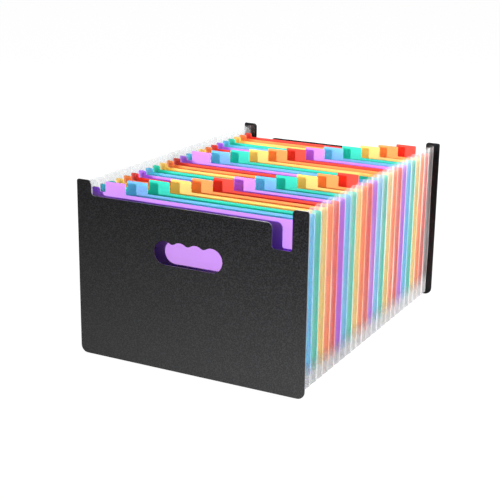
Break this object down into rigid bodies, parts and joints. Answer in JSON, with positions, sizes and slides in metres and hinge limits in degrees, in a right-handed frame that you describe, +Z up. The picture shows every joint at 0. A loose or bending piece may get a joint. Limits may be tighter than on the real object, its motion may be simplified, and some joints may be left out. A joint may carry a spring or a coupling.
{
  "type": "expanding desktop file",
  "caption": "Open-topped accordion file with black end covers, hand holes, coloured tabbed dividers and a frosted pleated gusset that stretches out and folds flat.",
  "frame": {"origin": "centre of the footprint on the table, midway between the two covers", "axes": "+Z up, +Y from the front cover to the back cover, the way the file stretches, +X to the right seen from the front"},
  "size_m": [0.33, 0.4626, 0.238],
  "materials": {
    "black_cover": "fine embossed grain",
    "purple_sheet": "satin, slightly translucent",
    "blue_sheet": "satin, slightly translucent",
    "teal_sheet": "satin, slightly translucent",
    "yellow_sheet": "satin, slightly translucent",
    "orange_sheet": "satin, slightly translucent",
    "red_sheet": "satin, slightly translucent",
    "clear_film": "frosted, see-through"
  },
  "bodies": {
    "front_cover": {"front_cover": "black_cover"},
    "divider_01": {"divider_01": "purple_sheet", "gusset_01": "clear_film"},
    "divider_02": {"divider_02": "blue_sheet", "gusset_02": "clear_film"},
    "divider_03": {"divider_03": "teal_sheet", "gusset_03": "clear_film"},
    "divider_04": {"divider_04": "yellow_sheet", "gusset_04": "clear_film"},
    "divider_05": {"divider_05": "orange_sheet", "gusset_05": "clear_film"},
    "divider_06": {"divider_06": "red_sheet", "gusset_06": "clear_film"},
    "divider_07": {"divider_07": "purple_sheet", "gusset_07": "clear_film"},
    "divider_08": {"divider_08": "blue_sheet", "gusset_08": "clear_film"},
    "divider_09": {"divider_09": "teal_sheet", "gusset_09": "clear_film"},
    "divider_10": {"divider_10": "yellow_sheet", "gusset_10": "clear_film"},
    "divider_11": {"divider_11": "orange_sheet", "gusset_11": "clear_film"},
    "divider_12": {"divider_12": "red_sheet", "gusset_12": "clear_film"},
    "divider_13": {"divider_13": "purple_sheet", "gusset_13": "clear_film"},
    "divider_14": {"divider_14": "blue_sheet", "gusset_14": "clear_film"},
    "divider_15": {"divider_15": "teal_sheet", "gusset_15": "clear_film"},
    "divider_16": {"divider_16": "yellow_sheet", "gusset_16": "clear_film"},
    "divider_17": {"divider_17": "orange_sheet", "gusset_17": "clear_film"},
    "divider_18": {"divider_18": "red_sheet", "gusset_18": "clear_film"},
    "divider_19": {"divider_19": "purple_sheet", "gusset_19": "clear_film"},
    "divider_20": {"divider_20": "blue_sheet", "gusset_20": "clear_film"},
    "divider_21": {"divider_21": "teal_sheet", "gusset_21": "clear_film"},
    "divider_22": {"divider_22": "yellow_sheet", "gusset_22": "clear_film"},
    "divider_23": {"divider_23": "orange_sheet", "gusset_23": "clear_film"},
    "divider_24": {"divider_24": "red_sheet", "gusset_24": "clear_film"},
    "back_cover": {"back_cover": "black_cover", "gusset_25": "clear_film"}
  },
  "joints": [
    {"name": "pocket_01_slide", "type": "slide", "parent": "front_cover", "child": "divider_01", "axis": [0, 1, 0], "range_m": [-0.0164, 0.0016], "deforming": ["gusset_01"]},
    {"name": "pocket_02_slide", "type": "slide", "parent": "divider_01", "child": "divider_02", "axis": [0, 1, 0], "range_m": [-0.0164, 0.0016], "deforming": ["gusset_02"]},
    {"name": "pocket_03_slide", "type": "slide", "parent": "divider_02", "child": "divider_03", "axis": [0, 1, 0], "range_m": [-0.0164, 0.0016], "deforming": ["gusset_03"]},
    {"name": "pocket_04_slide", "type": "slide", "parent": "divider_03", "child": "divider_04", "axis": [0, 1, 0], "range_m": [-0.0164, 0.0016], "deforming": ["gusset_04"]},
    {"name": "pocket_05_slide", "type": "slide", "parent": "divider_04", "child": "divider_05", "axis": [0, 1, 0], "range_m": [-0.0164, 0.0016], "deforming": ["gusset_05"]},
    {"name": "pocket_06_slide", "type": "slide", "parent": "divider_05", "child": "divider_06", "axis": [0, 1, 0], "range_m": [-0.0164, 0.0016], "deforming": ["gusset_06"]},
    {"name": "pocket_07_slide", "type": "slide", "parent": "divider_06", "child": "divider_07", "axis": [0, 1, 0], "range_m": [-0.0164, 0.0016], "deforming": ["gusset_07"]},
    {"name": "pocket_08_slide", "type": "slide", "parent": "divider_07", "child": "divider_08", "axis": [0, 1, 0], "range_m": [-0.0164, 0.0016], "deforming": ["gusset_08"]},
    {"name": "pocket_09_slide", "type": "slide", "parent": "divider_08", "child": "divider_09", "axis": [0, 1, 0], "range_m": [-0.0164, 0.0016], "deforming": ["gusset_09"]},
    {"name": "pocket_10_slide", "type": "slide", "parent": "divider_09", "child": "divider_10", "axis": [0, 1, 0], "range_m": [-0.0164, 0.0016], "deforming": ["gusset_10"]},
    {"name": "pocket_11_slide", "type": "slide", "parent": "divider_10", "child": "divider_11", "axis": [0, 1, 0], "range_m": [-0.0164, 0.0016], "deforming": ["gusset_11"]},
    {"name": "pocket_12_slide", "type": "slide", "parent": "divider_11", "child": "divider_12", "axis": [0, 1, 0], "range_m": [-0.0164, 0.0016], "deforming": ["gusset_12"]},
    {"name": "pocket_13_slide", "type": "slide", "parent": "divider_12", "child": "divider_13", "axis": [0, 1, 0], "range_m": [-0.0164, 0.0016], "deforming": ["gusset_13"]},
    {"name": "pocket_14_slide", "type": "slide", "parent": "divider_13", "child": "divider_14", "axis": [0, 1, 0], "range_m": [-0.0164, 0.0016], "deforming": ["gusset_14"]},
    {"name": "pocket_15_slide", "type": "slide", "parent": "divider_14", "child": "divider_15", "axis": [0, 1, 0], "range_m": [-0.0164, 0.0016], "deforming": ["gusset_15"]},
    {"name": "pocket_16_slide", "type": "slide", "parent": "divider_15", "child": "divider_16", "axis": [0, 1, 0], "range_m": [-0.0164, 0.0016], "deforming": ["gusset_16"]},
    {"name": "pocket_17_slide", "type": "slide", "parent": "divider_16", "child": "divider_17", "axis": [0, 1, 0], "range_m": [-0.0164, 0.0016], "deforming": ["gusset_17"]},
    {"name": "pocket_18_slide", "type": "slide", "parent": "divider_17", "child": "divider_18", "axis": [0, 1, 0], "range_m": [-0.0164, 0.0016], "deforming": ["gusset_18"]},
    {"name": "pocket_19_slide", "type": "slide", "parent": "divider_18", "child": "divider_19", "axis": [0, 1, 0], "range_m": [-0.0164, 0.0016], "deforming": ["gusset_19"]},
    {"name": "pocket_20_slide", "type": "slide", "parent": "divider_19", "child": "divider_20", "axis": [0, 1, 0], "range_m": [-0.0164, 0.0016], "deforming": ["gusset_20"]},
    {"name": "pocket_21_slide", "type": "slide", "parent": "divider_20", "child": "divider_21", "axis": [0, 1, 0], "range_m": [-0.0164, 0.0016], "deforming": ["gusset_21"]},
    {"name": "pocket_22_slide", "type": "slide", "parent": "divider_21", "child": "divider_22", "axis": [0, 1, 0], "range_m": [-0.0164, 0.0016], "deforming": ["gusset_22"]},
    {"name": "pocket_23_slide", "type": "slide", "parent": "divider_22", "child": "divider_23", "axis": [0, 1, 0], "range_m": [-0.0164, 0.0016], "deforming": ["gusset_23"]},
    {"name": "pocket_24_slide", "type": "slide", "parent": "divider_23", "child": "divider_24", "axis": [0, 1, 0], "range_m": [-0.0164, 0.0016], "deforming": ["gusset_24"]},
    {"name": "pocket_25_slide", "type": "slide", "parent": "divider_24", "child": "back_cover", "axis": [0, 1, 0], "range_m": [-0.0164, 0.0016], "deforming": ["gusset_25"]}
  ],
  "couplings": [
    {"joint": "pocket_02_slide", "follows": "pocket_01_slide", "ratio": 1},
    {"joint": "pocket_03_slide", "follows": "pocket_01_slide", "ratio": 1},
    {"joint": "pocket_04_slide", "follows": "pocket_01_slide", "ratio": 1},
    {"joint": "pocket_05_slide", "follows": "pocket_01_slide", "ratio": 1},
    {"joint": "pocket_06_slide", "follows": "pocket_01_slide", "ratio": 1},
    {"joint": "pocket_07_slide", "follows": "pocket_01_slide", "ratio": 1},
    {"joint": "pocket_08_slide", "follows": "pocket_01_slide", "ratio": 1},
    {"joint": "pocket_09_slide", "follows": "pocket_01_slide", "ratio": 1},
    {"joint": "pocket_10_slide", "follows": "pocket_01_slide", "ratio": 1},
    {"joint": "pocket_11_slide", "follows": "pocket_01_slide", "ratio": 1},
    {"joint": "pocket_12_slide", "follows": "pocket_01_slide", "ratio": 1},
    {"joint": "pocket_13_slide", "follows": "pocket_01_slide", "ratio": 1},
    {"joint": "pocket_14_slide", "follows": "pocket_01_slide", "ratio": 1},
    {"joint": "pocket_15_slide", "follows": "pocket_01_slide", "ratio": 1},
    {"joint": "pocket_16_slide", "follows": "pocket_01_slide", "ratio": 1},
    {"joint": "pocket_17_slide", "follows": "pocket_01_slide", "ratio": 1},
    {"joint": "pocket_18_slide", "follows": "pocket_01_slide", "ratio": 1},
    {"joint": "pocket_19_slide", "follows": "pocket_01_slide", "ratio": 1},
    {"joint": "pocket_20_slide", "follows": "pocket_01_slide", "ratio": 1},
    {"joint": "pocket_21_slide", "follows": "pocket_01_slide", "ratio": 1},
    {"joint": "pocket_22_slide", "follows": "pocket_01_slide", "ratio": 1},
    {"joint": "pocket_23_slide", "follows": "pocket_01_slide", "ratio": 1},
    {"joint": "pocket_24_slide", "follows": "pocket_01_slide", "ratio": 1},
    {"joint": "pocket_25_slide", "follows": "pocket_01_slide", "ratio": 1}
  ]
}
